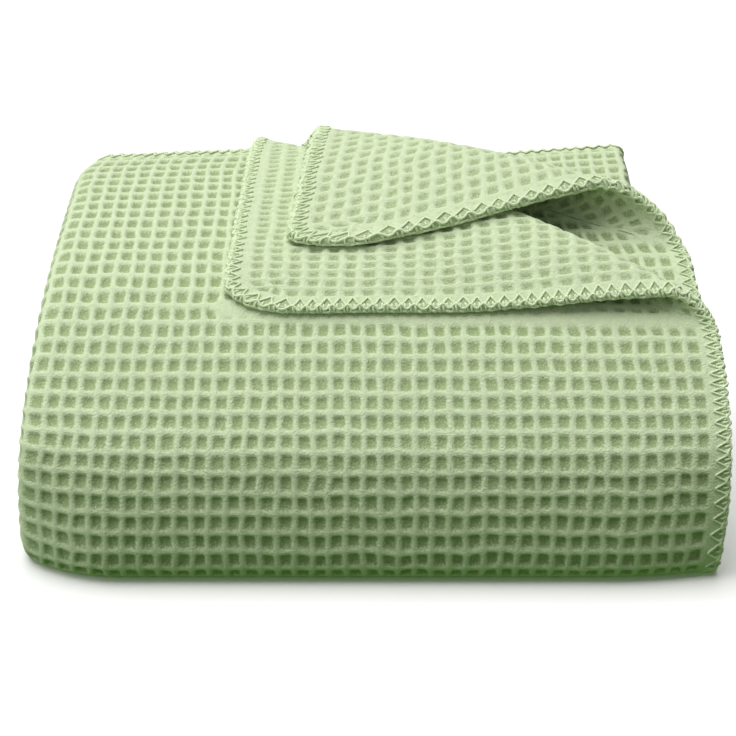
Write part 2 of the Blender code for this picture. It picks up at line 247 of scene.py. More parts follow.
# The pile's section as it has settled: distance from the front edge and height, from the top of the back to
# the floor.
OUTLINE = (
    (0.268, 0.1806),
    (0.228, 0.1804),
    (0.187, 0.1779),
    (0.152, 0.1730),
    (0.117, 0.1648),
    (0.094, 0.1568),
    (FRONT_TURN_Y, 0.1465),
    (0.053, 0.1313),
    (0.035, 0.1159),
    (0.018, 0.0990),
    (0.003, 0.0800),
    (-0.005, 0.0570),
    (-0.008, 0.0300),
    (-0.0065, 0.0130),
    (-0.001, 0.0040),
    (0.010, 0.0),
    (FRONT_TURN_Y, 0.0),
)
OUTLINE_STEPS = 24
LEFT_FOOT, LEFT_NARROWING = 0.2115, 0.0190
RIGHT_WIDEST, RIGHT_WIDEST_LEVEL = 0.2130, 0.47
RIGHT_NARROWING_BELOW, RIGHT_NARROWING_ABOVE = 0.018, 0.050
RIGHT_BACK_NARROWING = 0.07
BACK_NARROWS_FROM, BACK_NARROWS_TO = 0.110, 0.185
MIDDLE_BACK_RISE, RIGHT_BACK_RISE = 0.0075, 0.0220
RISE_STARTS, RISE_ENDS = 0.080, 0.262
BACK_CORNER_DRAW, BACK_CORNER_DEPTH = 0.05, 0.035
# The upright front corners are rounded: how much, and from how far out. The rounding fades out at a height
# and towards the back.
LEFT_ROUNDING, LEFT_ROUNDING_FROM = 7.5, 0.150
RIGHT_ROUNDING, RIGHT_ROUNDING_FROM = 2.2, 0.140
ROUNDING_FADES_AT, ROUNDING_DEPTH = 0.150, 0.150


def smooth_step(value, start, end):
    t = np.clip((value - start) / (end - start), 0.0, 1.0)
    return t * t * (3 - 2 * t)


def smooth_outline():
    """The section's points on one smooth curve."""
    rows = np.array(OUTLINE)
    rows = np.vstack([2 * rows[0] - rows[1], rows, 2 * rows[-1] - rows[-2]])
    found = [rows[1:2]]
    for before, a, b, after in zip(rows, rows[1:], rows[2:], rows[3:]):
        span = np.linalg.norm(b - a)
        slope_a = span * ((a - before) / np.linalg.norm(a - before) + (b - a) / span) / 2
        slope_b = span * ((b - a) / span + (after - b) / np.linalg.norm(after - b)) / 2
        t = np.linspace(0, 1, OUTLINE_STEPS + 1)[1:, None]
        found.append(
            (2 * t**3 - 3 * t**2 + 1) * a
            + (t**3 - 2 * t**2 + t) * slope_a
            + (3 * t**2 - 2 * t**3) * b
            + (t**3 - t**2) * slope_b
        )
    curve = np.vstack(found)
    curve[:, 1] = np.maximum(curve[:, 1], 0.0)
    return curve


section = smooth_outline()
shoulder = int(np.argmin(np.abs(section[: len(section) // 2, 0] - FRONT_TURN_Y)))
shoulder_z = section[shoulder, 1]
nose = section[shoulder:]
nose_angles = np.degrees(np.arctan2(nose[:, 1] - shoulder_z / 2, FRONT_TURN_Y - nose[:, 0]))


def settled(x, y, z):
    """A point of the evenly folded pile, moved to where it lies in the settled one."""
    reach = np.hypot(y - FRONT_TURN_Y, z - HEIGHT / 2) / FRONT_TURN_RADIUS
    angle = np.degrees(np.arctan2(z - HEIGHT / 2, FRONT_TURN_Y - y))
    oy = np.interp(-angle, -nose_angles, nose[:, 0])
    oz = np.interp(-angle, -nose_angles, nose[:, 1])
    top = section[: shoulder + 1]
    flat_z = z * np.interp(-y, -top[:, 0], top[:, 1]) / HEIGHT
    ahead_of_turn = y < FRONT_TURN_Y
    z = np.where(ahead_of_turn, shoulder_z / 2 + (oz - shoulder_z / 2) * reach, flat_z)
    y = np.where(ahead_of_turn, FRONT_TURN_Y + (oy - FRONT_TURN_Y) * reach, y)
    level = np.maximum(z, 0.0) / HEIGHT
    steeper = np.where(x < 0, MIDDLE_BACK_RISE, RIGHT_BACK_RISE - MIDDLE_BACK_RISE)
    rise = MIDDLE_BACK_RISE + steeper * x / STRIP_HALF_WIDTH
    z = z + rise * level * smooth_step(y, RISE_STARTS, RISE_ENDS)
    near_end = np.maximum((y - (LONG_BACK_Y - BACK_CORNER_DEPTH)) / BACK_CORNER_DEPTH, 0.0)
    left = (LEFT_FOOT - LEFT_NARROWING * level**2) * (1 - BACK_CORNER_DRAW * near_end**2 * level)
    narrowing = np.where(level < RIGHT_WIDEST_LEVEL, RIGHT_NARROWING_BELOW, RIGHT_NARROWING_ABOVE)
    right = RIGHT_WIDEST - narrowing * (level - RIGHT_WIDEST_LEVEL) ** 2
    right = right * (1 - RIGHT_BACK_NARROWING * smooth_step(y, BACK_NARROWS_FROM, BACK_NARROWS_TO))
    x = x * np.where(x < 0, left, right) / STRIP_HALF_WIDTH
    corner = LEFT_ROUNDING * np.maximum(-x - LEFT_ROUNDING_FROM, 0) ** 2
    corner = corner + RIGHT_ROUNDING * np.maximum(x - RIGHT_ROUNDING_FROM, 0) ** 2
    corner = corner * (1 - smooth_step(z, 0, ROUNDING_FADES_AT))
    return x, y + corner * np.clip(1 - (y + FRONT_OVERHANG) / ROUNDING_DEPTH, 0, 1), z


def across_stops(set_back):
    """The sheet's runs and turns across the strip, from the outer layer's hem to the inner layer's."""
    left = -STRIP_HALF_WIDTH + 1.5 * PITCH + CLOTH / 2
    right = STRIP_HALF_WIDTH - FOLD_SET_BACK - 0.5 * PITCH
    return (
        ("run", STRIP_HALF_WIDTH - set_back, left, 1.5 * PITCH),
        ("turn", left, 0.0, 1.5 * PITCH),
        ("run", left, right, -1.5 * PITCH),
        ("turn", right, -PITCH, 0.5 * PITCH),
        ("run", right, left, -0.5 * PITCH),
        ("turn", left, 0.0, 0.5 * PITCH),
        ("run", left, STRIP_HALF_WIDTH - set_back - INNER_HEM_SET_BACK, 0.5 * PITCH),
    )


across_lengths = [abs(b - a) if kind == "run" else math.pi * c for kind, a, b, c in across_stops(0.0)]
across_starts = np.concatenate([[0.0], np.cumsum(across_lengths)])
SHEET_WIDTH = across_starts[-1]

Straight = namedtuple("Straight", "row z total")
Bend = namedtuple("Bend", "y z radius at_front upward total")


def length_height(row):
    return HEIGHT - (row.place_from_top + 0.5) * BUNDLE + (PITCH - CLOTH) / 2


stretches = []
for row, following in zip(LENGTH_ROWS, [*LENGTH_ROWS[1:], None]):
    stretches.append(Straight(row, length_height(row), row.back_y - FRONT_TURN_Y))
    if following:
        z, after = length_height(row), length_height(following)
        at_front = row.runs_to == "front"
        y = FRONT_TURN_Y if at_front else row.back_y
        radius = abs(after - z) / 2
        stretches.append(Bend(y, (z + after) / 2, radius, at_front, after > z, math.pi * radius))
stretch_starts = np.concatenate([[0.0], np.cumsum([s.total for s in stretches])])
SHEET_LENGTH = stretch_starts[-1]


def along(b, height):
    """(y, z) of points at distances along the strip and heights on the outer layer's side of its middle."""
    y, z = np.zeros_like(b), np.zeros_like(b)
    which = np.clip(np.searchsorted(stretch_starts, b, side="right") - 1, 0, len(stretches) - 1)
    for i, stretch in enumerate(stretches):
        here = which == i
        d, h = b[here] - stretch_starts[i], height[here]
        if isinstance(stretch, Straight):
            to_front = stretch.row.runs_to == "front"
            y[here] = stretch.row.back_y - d if to_front else FRONT_TURN_Y + d
            z[here] = stretch.z + h if to_front else stretch.z - h
            continue
        angle = d / stretch.radius
        reach = stretch.radius + (h if stretch.at_front != stretch.upward else -h)
        y[here] = stretch.y + (-1 if stretch.at_front else 1) * reach * np.sin(angle)
        z[here] = stretch.z + (-1 if stretch.upward else 1) * reach * np.cos(angle)
    return y, z


def turn_frame(turn):
    """The crease's direction and length, and the direction in which the cloth goes over it."""
    dx, db = turn.end_x - turn.hem_x, -turn.hem_b
    mx, mb = turn.hem_x - turn.corner_x, -turn.corner_b
    reach, across_it = math.hypot(dx, db), math.hypot(mx, mb)
    return (dx / reach, db / reach), reach, (mx / across_it, mb / across_it)


def past_crease(turn, x, b):
    """(distance past the crease, distance along it, its loop's radius there) for points of the flat layer."""
    (cx, cb), reach, (mx, mb) = turn_frame(turn)
    px, pb = x - turn.hem_x, b - turn.hem_b
    slant = cx * mb - cb * mx
    past = (cx * pb - cb * px) / slant
    q = (px * mb - pb * mx) / slant
    share = np.clip(q / reach, 0.0, 1.0)
    return past, q, turn.hem_radius + (turn.end_radius - turn.hem_radius) * share


def turned(turn, x, b, height):
    """Where points of the layer lie once its corner is turned over."""
    past, q, radius = past_crease(turn, x, b)
    corner_past, _, corner_loop = past_crease(turn, turn.hem_x, 0.0)
    lies_at, _, _ = past_crease(turn, turn.corner_x, turn.corner_b)
    drawn_out = -lies_at / (corner_past - math.pi * corner_loop)
    (cx, cb), _, (mx, mb) = turn_frame(turn)
    angle = np.clip(past / radius, 0, math.pi)
    lying = np.maximum(past - math.pi * radius, 0)
    out = radius * np.sin(angle) - lying * drawn_out
    settles = smooth_step(lying, 0.0, turn.settle) * (lying > 0)
    up = radius * (1 - np.cos(angle)) + (turn.rest_height - 2 * radius) * settles
    over = past > 0
    return (
        np.where(over, turn.hem_x + cx * q + mx * out, x),
        np.where(over, turn.hem_b + cb * q + mb * out, b),
        np.where(over, height + up, height),
    )


TINY = 1e-12  # stands in for a length of nothing where one is divided by


def rounded(u, v):
    """u and v, with the sheet's square corners drawn in to round ones."""
    du, dv = np.minimum(u, SHEET_WIDTH - u), np.minimum(v, SHEET_LENGTH - v)
    a, b = CORNER_RADIUS - du, CORNER_RADIUS - dv
    inside = (a > 0) & (b > 0)
    scale = np.maximum(a, b) / np.maximum(np.hypot(a, b), TINY)
    du = np.where(inside, CORNER_RADIUS - a * scale, du)
    dv = np.where(inside, CORNER_RADIUS - b * scale, dv)
    u = np.where(u < SHEET_WIDTH / 2, du, SHEET_WIDTH - du)
    return u, np.where(v < SHEET_LENGTH / 2, dv, SHEET_LENGTH - dv)


def in_strip(u, v):
    """(x, distance from the end hem, height over the strip's middle) of the sheet's middle surface."""
    wrap_ends = LONG_BACK_Y - FRONT_TURN_Y + math.pi * (HEIGHT - BUNDLE) / 2
    set_back = HEM_SET_BACK * smooth_step(v, wrap_ends, wrap_ends + LONG_BACK_Y - FRONT_TURN_Y)
    which = np.clip(np.searchsorted(across_starts, u, side="right") - 1, 0, len(across_lengths) - 1)
    x, height = np.zeros_like(u), np.zeros_like(u)
    for i, (kind, a, b, c) in enumerate(across_stops(set_back)):
        share = (u - across_starts[i]) / across_lengths[i]
        if kind == "run":
            here_x, here_h = a + (b - a) * share, c + 0 * share
        else:
            outward = 1 if i == 3 else -1
            downward = 1 if i == 1 else -1
            here_x = a + outward * c * np.sin(math.pi * share)
            here_h = b + downward * c * np.cos(math.pi * share)
        x, height = np.where(which == i, here_x, x), np.where(which == i, here_h, height)
    flap = turned(OUTER_TURN, x, v, height)
    inner_flap = turned(INNER_TURN, x, v, height)
    first, last = which == 0, which == len(across_lengths) - 1
    lying = zip(flap, inner_flap, (x, v, height))
    return tuple(np.where(first, a, np.where(last, b, c)) for a, b, c in lying)


SLOPE_STEP = 1e-5  # how far apart two places are from which the cloth's slope is taken


def lay(u, v, lift):
    """Where points of the sheet lie in the pile, lifted off its middle surface towards its second face."""
    u, v = rounded(np.asarray(u, float), np.asarray(v, float))
    du = np.array(in_strip(u + SLOPE_STEP, v)) - np.array(in_strip(u - SLOPE_STEP, v))
    dv = np.array(in_strip(u, v + SLOPE_STEP)) - np.array(in_strip(u, v - SLOPE_STEP))
    normal = np.cross(du, dv, axis=0)
    normal /= np.maximum(np.linalg.norm(normal, axis=0), TINY)
    x, b, height = np.array(in_strip(u, v)) + normal * lift
    y, z = along(b, height)
    x, y, z = settled(x, y, z)
    return np.column_stack([x + section_zero.x, y + section_zero.y, z])


CELL_WIDE, CELL_LONG = 0.01005, 0.0123
PIT_DEPTH = 0.0023
DEPTH_VARIES, SHALLOWEST, DEEPEST = 0.10, 0.7, 1.15  # as shares of a cell's depth
FLOOR_ENDS, RIB_TOP = 0.34, 0.90  # where a cell's floor ends and its rib's top begins, over half its width
PLAIN_HEM, EASING = 0.0085, 0.004  # the plain band along the edge, and how soon the cells open beyond it
PRESSED = 0.0045  # the plain band beside a turned corner's hem
STEPS_IN_CELL = 12  # every edge of a cell is cut at some of these places
CROWDED = 0.8  # below 1 the places lie closer at the ribs
sides_of_cell = np.linspace(-1, 1, STEPS_IN_CELL + 1)
CUT_PLACES = (np.sign(sides_of_cell) * np.abs(sides_of_cell) ** CROWDED + 1) / 2
WEAVE_WANDER = 0.0006
RIM_ANGLE = math.radians(75)  # a steeper edge is the sheet's rim
SAME_PLACE = 6  # decimals of a metre at which two places are one


class Weave:
    """The lines between the cells of a stretch of cloth, as places across and along the sheet."""

    def __init__(self, u_lines, v_lines, seed, line=None, relief=1.0, pressed=None):
        self.u_lines, self.v_lines = np.asarray(u_lines, float), np.asarray(v_lines, float)
        self.line, self.relief, self.pressed = line, relief, pressed
        self.columns, self.rows = len(u_lines) - 1, len(v_lines) - 1
        random = np.random.default_rng(seed)
        self.wander = random.normal(0, WEAVE_WANDER, (2, self.columns + 1, self.rows + 1))
        depth = random.normal(1.0, DEPTH_VARIES, (self.columns, self.rows))
        self.depth = np.clip(depth, SHALLOWEST, DEEPEST)

    def cells(self):
        """The places of the middles of the cells, as u and v of the sheet."""
        middles = ((lines[1:] + lines[:-1]) / 2 for lines in (self.u_lines, self.v_lines))
        return np.meshgrid(*middles, indexing="ij")

    def line_at(self, lines, place):
        """Places in the weave, counted in cells, for places on the sheet."""
        count = np.arange(len(lines))
        if lines[0] > lines[-1]:
            return np.interp(-place, -lines, count)
        return np.interp(place, lines, count)

    def point(self, u, v):
        """(u, v, share of a cell's depth, place in the weave) for places on the evenly woven sheet. The place
        in the weave is counted in cells, with the share to which they are open there."""
        i, j = self.line_at(self.u_lines, u), self.line_at(self.v_lines, v)
        column = np.minimum(i.astype(int), self.columns - 1)
        row = np.minimum(j.astype(int), self.rows - 1)
        a, b = i - column, j - row
        pit = (1 - rib(2 * a - 1)) * (1 - rib(2 * b - 1)) * self.depth[column, row]
        open_share = self.relief * smooth_step(hem_place(u, v)[1], PLAIN_HEM, PLAIN_HEM + EASING)
        if self.line:
            open_share = open_share * smooth_step(distance_from(self.line, u, v), 0, EASING)
        if self.pressed:
            off = distance_from(self.pressed, u, v)
            open_share = open_share * smooth_step(off, PRESSED, PRESSED + EASING)
        moved = [
            (w[column, row] * (1 - a) + w[column + 1, row] * a) * (1 - b)
            + (w[column, row + 1] * (1 - a) + w[column + 1, row + 1] * a) * b
            for w in self.wander
        ]
        free = smooth_step(edge_distance(u, v), 0.0, 2 * CELL_LONG)
        return u + moved[0] * free, v + moved[1] * free, pit * open_share, np.column_stack([i, j, open_share])


def rib(share):
    """The height of a rounded rib, from 0 at the middle of a cell to 1 on the line between two cells."""
    t = np.clip((np.abs(share) - FLOOR_ENDS) / (RIB_TOP - FLOOR_ENDS), 0, 1)
    return np.sin(t * math.pi / 2) ** 2


def edge_distance(u, v):
    """How far places lie in from the blanket's edge."""
    return np.minimum(np.minimum(u, SHEET_WIDTH - u), np.minimum(v, SHEET_LENGTH - v))


def distance_from(line, u, v):
    """How far places lie from the straight stretch between two others."""
    (ax, ay), (bx, by) = line
    share = ((u - ax) * (bx - ax) + (v - ay) * (by - ay)) / ((bx - ax) ** 2 + (by - ay) ** 2)
    share = np.clip(share, 0, 1)
    return np.hypot(u - ax - share * (bx - ax), v - ay - share * (by - ay))


def cut_lines(lines):
    """All the places at which cells between these lines may be cut."""
    return np.append((lines[:-1, None] + np.diff(lines)[:, None] * CUT_PLACES[None, :-1]).ravel(), lines[-1])


def flat_face(weave, cuts, used):
    """One face of a woven sheet as flat points and faces, from how often each cell is cut."""
    number = np.full(used.shape, -1)
    number[used] = np.arange(used.sum())
    i, j = np.nonzero(used)
    faces = []
    for column, row in np.ndindex(cuts.shape[:2]):
        a, b = (STEPS_IN_CELL // int(k) for k in cuts[column, row])
        left, low = column * STEPS_IN_CELL, row * STEPS_IN_CELL
        right, high = left + STEPS_IN_CELL, low + STEPS_IN_CELL
        for i0 in range(left, right, a):
            for j0 in range(low, high, b):
                corners = [number[i0, j0], number[i0 + a, j0], number[i0 + a, j0 + b], number[i0, j0 + b]]
                if i0 == left or j0 == low or i0 + a == right or j0 + b == high:
                    ring = [
                        *number[i0 : i0 + a, j0],
                        *number[i0 + a, j0 : j0 + b],
                        *number[i0 + a : i0 : -1, j0 + b],
                        *number[i0, j0 + b : j0 : -1],
                    ]
                    corners = [k for k in ring if k >= 0]
                faces.append([int(k) for k in corners])
    return np.column_stack([cut_lines(weave.u_lines)[i], cut_lines(weave.v_lines)[j]]), faces


TRIM_PRECISION = 1e-7


def trimmed(points, faces, line):
    """A flat face without what lies to the right of a line, given as two places on it."""
    (ax, ay), (bx, by) = line
    mesh = bpy.data.meshes.new("flat")
    mesh.from_pydata([(x, y, 0) for x, y in points.tolist()], [], faces)
    flat = bmesh.new()
    flat.from_mesh(mesh)
    plane = {"plane_co": (ax, ay, 0), "plane_no": (by - ay, ax - bx, 0)}
    everything = [*flat.verts, *flat.edges, *flat.faces]
    bmesh.ops.bisect_plane(flat, geom=everything, dist=TRIM_PRECISION, clear_outer=True, **plane)
    flat.verts.index_update()
    points = np.array([v.co[:2] for v in flat.verts])
    faces = [[v.index for v in f.verts] for f in flat.faces]
    flat.free()
    bpy.data.meshes.remove(mesh)
    return points, faces


ZIGZAG_PITCH, SEWN_CLOSER, SHALLOWER = 0.0083, 0.5, 0.40  # of the stitches along the blanket's edge
RIM_CORNER = CORNER_RADIUS * math.pi / 2
SIDE_STRAIGHT, END_STRAIGHT = SHEET_LENGTH - 2 * CORNER_RADIUS, SHEET_WIDTH - 2 * CORNER_RADIUS
FAR_U, FAR_V = SHEET_WIDTH - CORNER_RADIUS, SHEET_LENGTH - CORNER_RADIUS
Quarter = namedtuple("Quarter", "centre out onward straight")
RIM_QUARTERS = (
    Quarter((CORNER_RADIUS, CORNER_RADIUS), (-1, 0), (0, -1), SIDE_STRAIGHT),
    Quarter((FAR_U, CORNER_RADIUS), (0, -1), (1, 0), END_STRAIGHT),
    Quarter((FAR_U, FAR_V), (1, 0), (0, 1), SIDE_STRAIGHT),
    Quarter((CORNER_RADIUS, FAR_V), (0, 1), (-1, 0), END_STRAIGHT),
)


def outer_side(v):
    """The distance along the rim of a place on the outer layer's side hem."""
    return FAR_V - v


def end_hem(u):
    return SIDE_STRAIGHT + RIM_CORNER + u - CORNER_RADIUS


def inner_side(v):
    return end_hem(FAR_U) + RIM_CORNER + v - CORNER_RADIUS


def stitches(place):
    """How many stitches are sewn up to a place on the edge. They are closer on the turned corners' side hems,
    which lie drawn out to a longer line in the pile."""
    outer = np.clip(place - outer_side(OUTER_TURN.hem_b), 0, OUTER_TURN.hem_b - CORNER_RADIUS)
    inner = np.clip(place - inner_side(CORNER_RADIUS), 0, INNER_TURN.hem_b - CORNER_RADIUS)
    return (place + SEWN_CLOSER * (outer + inner)) / ZIGZAG_PITCH


def reach(place):
    """How deep the zigzag is sewn: a little less along the end hem than along the side hems."""
    starts, ends = end_hem(CORNER_RADIUS), end_hem(FAR_U)
    on_end = smooth_step(place, starts - RIM_CORNER, starts) - smooth_step(place, ends, ends + RIM_CORNER)
    return 1 - SHALLOWER * on_end


def hem_place(u, v):
    """(stitches along the blanket's edge, distance in from it by the zigzag's depth) of places on it."""
    nearest, along_it = np.full(u.shape, np.inf), np.zeros(u.shape)
    start = 0.0
    for quarter in RIM_QUARTERS:
        pu, pv = u - quarter.centre[0], v - quarter.centre[1]
        a = pu * quarter.out[0] + pv * quarter.out[1]
        b = pu * quarter.onward[0] + pv * quarter.onward[1]
        at_corner = (a > 0) & (b > 0)
        inset = CORNER_RADIUS - np.where(at_corner, np.maximum(a, b), a)
        place = start + quarter.straight + np.where(at_corner, CORNER_RADIUS * np.arctan2(b, a), b)
        here = (inset < nearest) & (b > -quarter.straight)
        nearest, along_it = np.where(here, inset, nearest), np.where(here, place, along_it)
        start += quarter.straight + RIM_CORNER
    return stitches(along_it), nearest / reach(along_it)


def woven_sheet(name, weave, cuts):
    """A closed mesh of a stretch of the cloth. cuts gives, for each face and cell, how often the cell is cut
    across and along: the more cuts, the truer its pit. The stretch ends at the weave's line."""
    if weave.line:
        at_line = distance_from(weave.line, *weave.cells()) < CELL_WIDE + CELL_LONG
        cuts[:, at_line] = cuts[:, at_line].max(axis=0)
    used = np.zeros((2, weave.columns * STEPS_IN_CELL + 1, weave.rows * STEPS_IN_CELL + 1), bool)
    for face, column, row in np.ndindex(cuts.shape[:3]):
        a, b = (STEPS_IN_CELL // int(k) for k in cuts[face, column, row])
        i, j = column * STEPS_IN_CELL, row * STEPS_IN_CELL
        used[face, i : i + STEPS_IN_CELL + 1 : a, j : j + STEPS_IN_CELL + 1 : b] = True
    rim = np.zeros(used.shape[1:], bool)
    rim[[0, -1]] = rim[:, [0, -1]] = True
    used |= used[::-1] & rim
    points, faces, weaves, hems, coarse, edges, start = [], [], [], [], [], [], 0
    for face in (0, 1):
        flat, found = flat_face(weave, cuts[face], used[face])
        if weave.line:
            flat, found = trimmed(flat, found, weave.line)
        u, v, pit, place = weave.point(flat[:, 0], flat[:, 1])
        lift = CLOTH / 2 - PIT_DEPTH * pit
        points.append(lay(u, v, lift if face else -lift))
        weaves.append(place)
        hems.append(np.column_stack([*hem_place(flat[:, 0], flat[:, 1]), 0 * u]))
        column = np.clip(place[:, 0].astype(int), 0, weave.columns - 1)
        row = np.clip(place[:, 1].astype(int), 0, weave.rows - 1)
        coarse.append(cuts[face, column, row].min(axis=1) < FINE)
        faces += [[k + start for k in (f if face else f[::-1])] for f in found]
        sides = {(a, b) for f in found for a, b in zip(f, [*f[1:], f[0]])}
        places = [tuple(p) for p in np.round(flat, SAME_PLACE).tolist()]
        outer = [(a, b) for a, b in sides if (b, a) not in sides]
        edges.append({(places[a], places[b]): (a + start, b + start) for a, b in outer})
        start += len(flat)
    for place, (a, b) in edges[1].items():
        c, d = edges[0][place]
        faces.append([a, c, d, b])
    mesh = bpy.data.meshes.new(name)
    mesh.from_pydata(np.vstack(points).tolist(), [], faces)
    whole = bmesh.new()
    whole.from_mesh(mesh)
    bmesh.ops.recalc_face_normals(whole, faces=whole.faces[:])
    whole.to_mesh(mesh)
    whole.free()
    mesh.shade_smooth()
    mesh.set_sharp_from_angle(angle=RIM_ANGLE)
    for label, kind, field, values in (
        ("weave", "FLOAT_VECTOR", "vector", np.vstack(weaves)),
        ("hem", "FLOAT_VECTOR", "vector", np.vstack(hems)),
        ("smooth", "FLOAT", "value", np.concatenate(coarse).astype(float)),
    ):
        mesh.attributes.new(label, kind, "POINT").data.foreach_set(field, values.ravel())
    return placed(name, mesh)


FINE = 6  # how often a cell is cut whose pit has to show in the mesh
SIDE_FOLD_CUTS = (1, 4), (3, 6), (5, 6)  # the strip's folds, and how often a cell is cut across them
TIGHT_TURN_CUTS, WIDE_TURN_CUTS = 4, 2  # how often a cell is cut along the turns from length to length


def bend_cuts(weave):
    """Cuts that follow the folds: 1 where the cloth lies flat, and more the tighter it is folded."""
    u, v = weave.cells()
    cuts = np.ones((2, *u.shape, 2), int)
    for i, steps in SIDE_FOLD_CUTS:
        folded = (u > across_starts[i] - CELL_WIDE) & (u < across_starts[i + 1] + CELL_WIDE)
        cuts[:, folded, 0] = steps
    for i, stretch in enumerate(stretches):
        if isinstance(stretch, Bend):
            bent = (v > stretch_starts[i] - CELL_LONG / 2) & (v < stretch_starts[i + 1] + CELL_LONG / 2)
            cuts[:, bent, 1] = TIGHT_TURN_CUTS if stretch.radius < BUNDLE else WIDE_TURN_CUTS
    return cuts


def covered_by(turn, x, b, margin):
    """Whether points lie under a turned corner, farther in than the margin."""
    corners = ((turn.hem_x, turn.hem_b), (turn.end_x, 0.0), (turn.corner_x, turn.corner_b))
    inside = np.ones(x.shape, bool)
    for (ax, ab), (cx, cb) in zip(corners, (*corners[1:], corners[0])):
        span = math.hypot(cx - ax, cb - ab)
        inside &= ((cx - ax) * (b - ab) - (cb - ab) * (x - ax)) / span < -margin
    return inside


SEAM_SHARE = 0.12  # how far round the loop the turned corner's own cloth begins


def seam_line(turn, to_u):
    """Two places on the line, low in the crease's loop, at which the turned corner's own cloth begins."""
    _, _, (mx, mb) = turn_frame(turn)
    hem, end = (SEAM_SHARE * math.pi * r for r in (turn.hem_radius, turn.end_radius))
    return (to_u(turn.hem_x + mx * hem), turn.hem_b + mb * hem), (to_u(turn.end_x + mx * end), mb * end)


SAMPLES_ALONG = 2000


def evenly_along(u, length, pitch, start):
    """Places along the sheet that are one pitch apart where its outer face is bent round the pile."""
    v = np.linspace(0, length, SAMPLES_ALONG)
    places = lay(np.full_like(v, u), v, -CLOTH / 2)
    run = np.concatenate([[0.0], np.cumsum(np.linalg.norm(np.diff(places, axis=0), axis=1))])
    count = math.floor((run[-1] - start) / pitch)
    return np.concatenate([[0.0], np.interp(start + pitch * np.arange(count + 1), run, v)])


def flap_pitches(u, v, inward):
    """How far apart a turned corner's lines are on the flat sheet, to keep its cells' size in the pile."""
    step = 1e-3
    here, across, onward = (
        np.array(in_strip(np.array([a]), np.array([b])))[:2, 0]
        for a, b in ((u, v), (u + inward * step, v), (u, v + step))
    )
    return CELL_WIDE * step / np.linalg.norm(across - here), CELL_LONG * step / np.linalg.norm(onward - here)


UNDER_FLAP = 0.020  # how far in under a turned corner the fine cells go on
FINE_PAST_TURN = 0.010  # and how far past the pile's front turn
FIRST_ROW = 0.0100  # the first row's length, at the end hem
ROWS_EVEN_AT = 0.7  # where the rows are evenly spaced, as a share of the layer's width
HEM_LIES_BACK = 0.0119, 0.0070  # from the turn's hem and corner to where they press the layer below
WRAP_PAST_TURN, WRAP_PAST_FOLD = 0.040, 0.020  # how far this piece goes past the front turn and left fold
wrap_end = stretch_starts[2] + WRAP_PAST_TURN
wrap_width = across_starts[2] + WRAP_PAST_FOLD
outer_line = seam_line(OUTER_TURN, lambda x: STRIP_HALF_WIDTH - x)
outer_weave = Weave(
    np.linspace(0, wrap_width, round(wrap_width / CELL_WIDE) + 1),
    evenly_along(across_lengths[0] * ROWS_EVEN_AT, wrap_end, CELL_LONG, FIRST_ROW),
    seed=11,
    line=outer_line,
    pressed=(
        (0.0, OUTER_TURN.hem_b - HEM_LIES_BACK[0]),
        (STRIP_HALF_WIDTH - OUTER_TURN.corner_x, OUTER_TURN.corner_b - HEM_LIES_BACK[1]),
    ),
)
outer_cuts = bend_cuts(outer_weave)
u, v = outer_weave.cells()
uncovered = ~covered_by(OUTER_TURN, STRIP_HALF_WIDTH - u, v, UNDER_FLAP)
outer_cuts[0][uncovered & (v < stretch_starts[2] + FINE_PAST_TURN)] = FINE
outer_layer = woven_sheet("outer_layer", outer_weave, outer_cuts)

# The outer layer's turned corner. Its cells are a little narrower than the layer's, and less open: shallower,
# and with less painted shade in them, as it lies on top, facing the light.
# Shallower cells on the turned corners, with less painted shade in them, as they face the light from above.
FLAP_RELIEF_AND_SHADE = 0.72
OUTER_FLAP_DRAWN_IN = 0.64
OUTER_CELLS_TRUE_AT = 0.06, 0.06  # where on the sheet the cells are measured
OUTER_TRIMMED = 0.030  # how far the weave goes on past the crease before it is trimmed
OUTER_LOOP_FINE = 0.010  # how far past the crease's loop the cells inside it are fine
FLAP_COARSE = 2  # how often its other cells are cut
outer_corner = OUTER_TURN.hem_x - OUTER_TURN.end_x, OUTER_TURN.hem_b
outer_pitches = flap_pitches(*OUTER_CELLS_TRUE_AT, 1)
outer_flap_weave = Weave(
    np.arange(0, outer_corner[0] + OUTER_TRIMMED, outer_pitches[0] * OUTER_FLAP_DRAWN_IN),
    np.arange(0, outer_corner[1] + OUTER_TRIMMED, outer_pitches[1]),
    seed=12,
    line=outer_line[::-1],
    relief=FLAP_RELIEF_AND_SHADE,
)
outer_flap_cuts = np.full((2, outer_flap_weave.columns, outer_flap_weave.rows, 2), FLAP_COARSE)
u, v = outer_flap_weave.cells()
past, _, loop = past_crease(OUTER_TURN, STRIP_HALF_WIDTH - u, v)
lying_x, lying_b, _ = in_strip(u, v)
outer_flap_cuts[1][~covered_by(INNER_TURN, lying_x, lying_b, UNDER_FLAP) | (past < math.pi * loop)] = FINE
outer_flap_cuts[0][past < math.pi * loop + OUTER_LOOP_FINE] = FINE
outer_flap = woven_sheet("outer_flap", outer_flap_weave, outer_flap_cuts)
